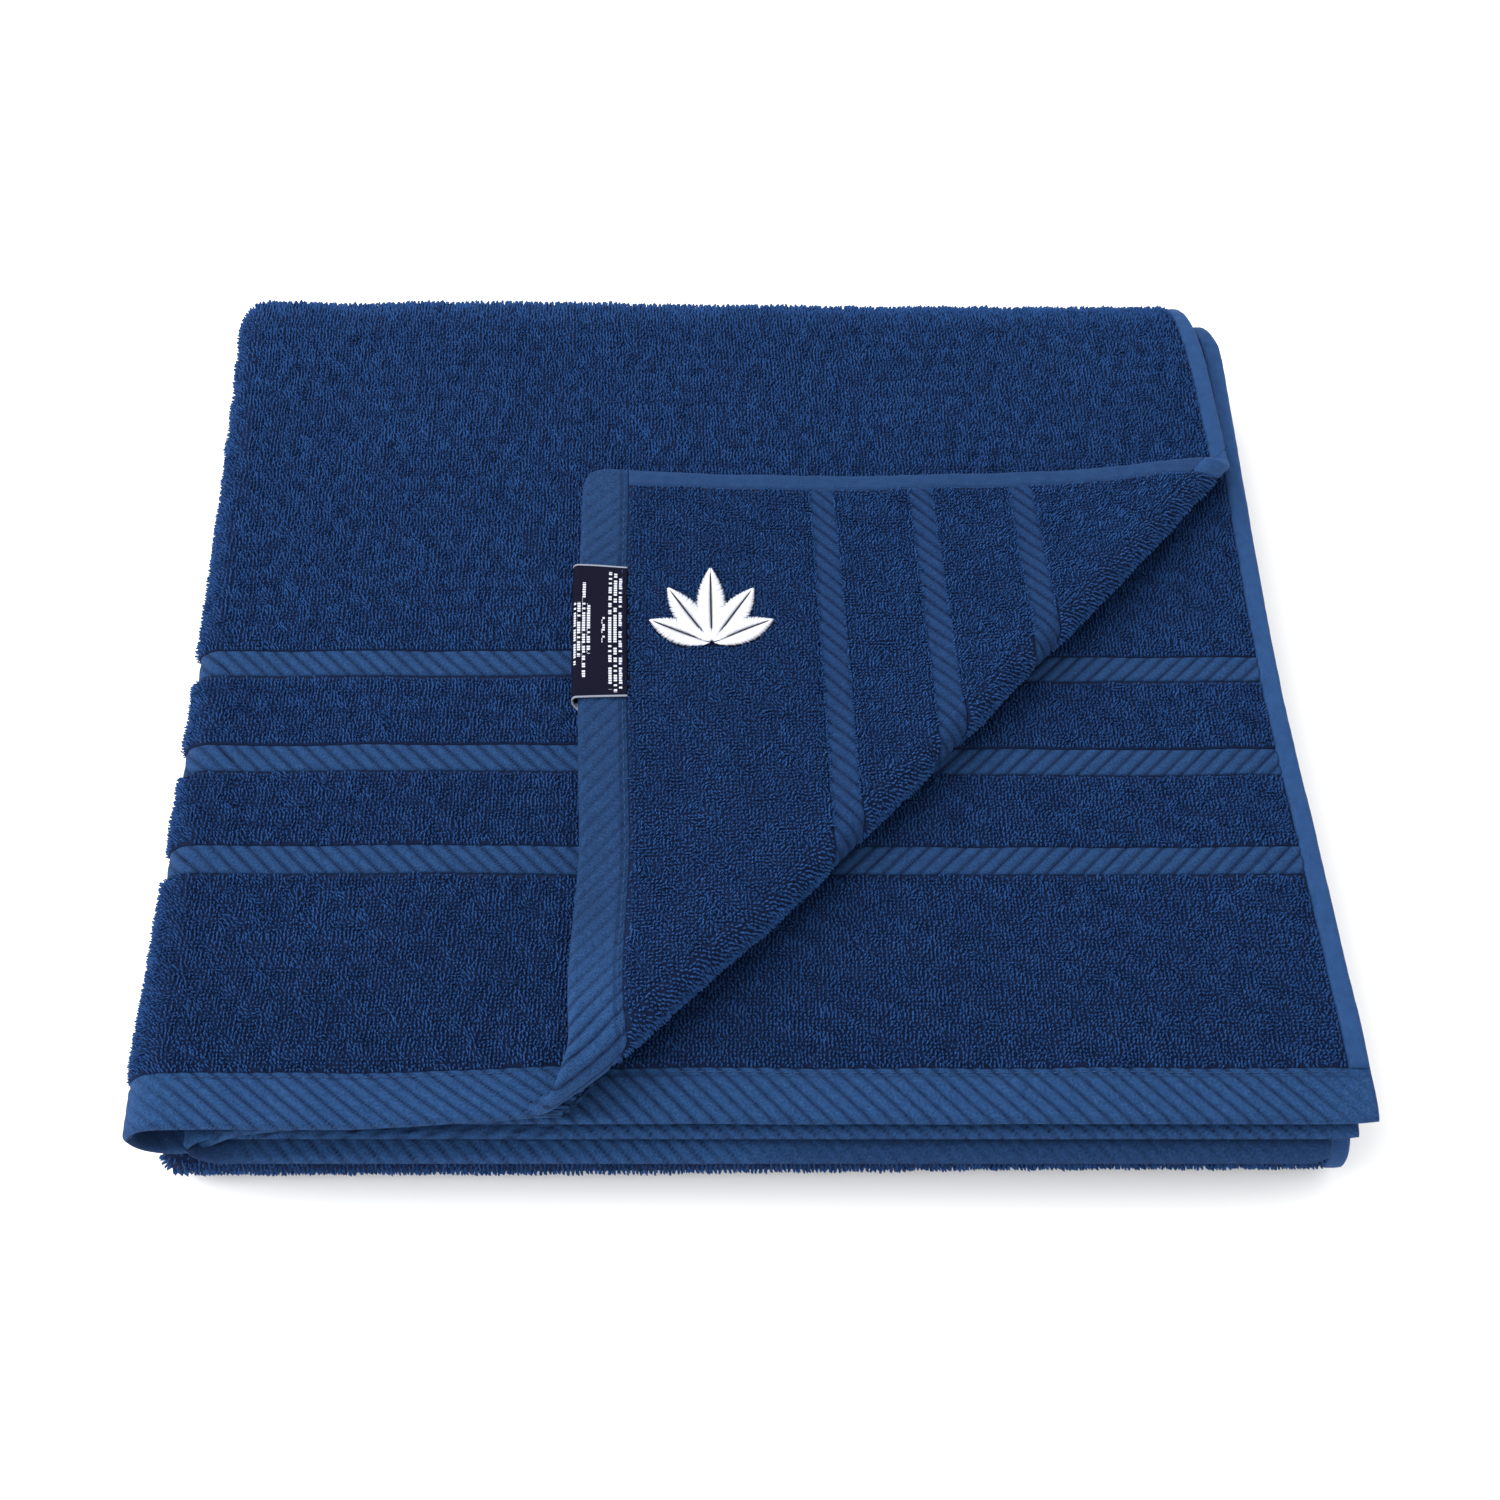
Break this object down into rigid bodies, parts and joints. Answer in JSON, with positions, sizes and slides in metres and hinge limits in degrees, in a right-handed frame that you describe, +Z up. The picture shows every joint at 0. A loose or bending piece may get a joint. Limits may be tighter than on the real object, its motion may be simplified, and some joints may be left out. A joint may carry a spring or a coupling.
{
  "type": "folded bath towel",
  "caption": "Thick cotton terry bath towel folded into a flat stack, with flat woven bands, hemmed ends and one corner turned back.",
  "frame": {"origin": "middle of the face the towel rests on", "axes": "+Z up through the plies, +X to the right along the end hems, +Y to the back, away from the end hems"},
  "size_m": [0.3926, 0.3474, 0.0662],
  "materials": {
    "terry": "navy cotton terry, deep uncut loops, fully matt",
    "band": "flat ribbed dobby weave in the same navy yarn, a little lighter and smoother than the pile",
    "hem": "flat ribbed weave, folded and sewn",
    "thread": "polyester sewing thread, faint sheen",
    "label": "woven satin label, dark navy, faint sheen",
    "motif": "white satin-stitch embroidery thread with a soft sheen"
  },
  "bodies": {
    "stack": {"terry_field": "terry", "side_hem_outer": "hem", "side_hem_inner": "hem", "end_hem_upper": "hem", "end_hem_lower": "hem", "pile_strip_1_upper": "terry", "pile_strip_1_lower": "terry", "flat_band_1_upper": "band", "flat_band_1_lower": "band", "pile_strip_2_upper": "terry", "pile_strip_2_lower": "terry", "flat_band_2_upper": "band", "flat_band_2_lower": "band", "pile_strip_3_upper": "terry", "pile_strip_3_lower": "terry", "flat_band_3_upper": "band", "flat_band_3_lower": "band", "end_hem_seam_left": "thread", "end_hem_seam_right": "thread"},
    "corner": {"corner_end_hem": "hem", "corner_pile_strip_1": "terry", "corner_flat_band_1": "band", "corner_pile_strip_2": "terry", "corner_flat_band_2": "band", "corner_pile_strip_3": "terry", "corner_flat_band_3": "band", "corner_terry_field": "terry", "corner_side_hem": "hem", "corner_hem_seam_front": "thread", "corner_hem_seam_back": "thread", "care_label": "label", "label_seam": "thread", "embroidered_motif": "motif"}
  },
  "joints": [
    {"name": "corner_fold", "type": "hinge", "parent": "stack", "child": "corner", "pos_m": [-0.04868, -0.17365, 0.0571], "axis": [0.6952, 0.7189, 0], "range_deg": [0, 174]}
  ]
}
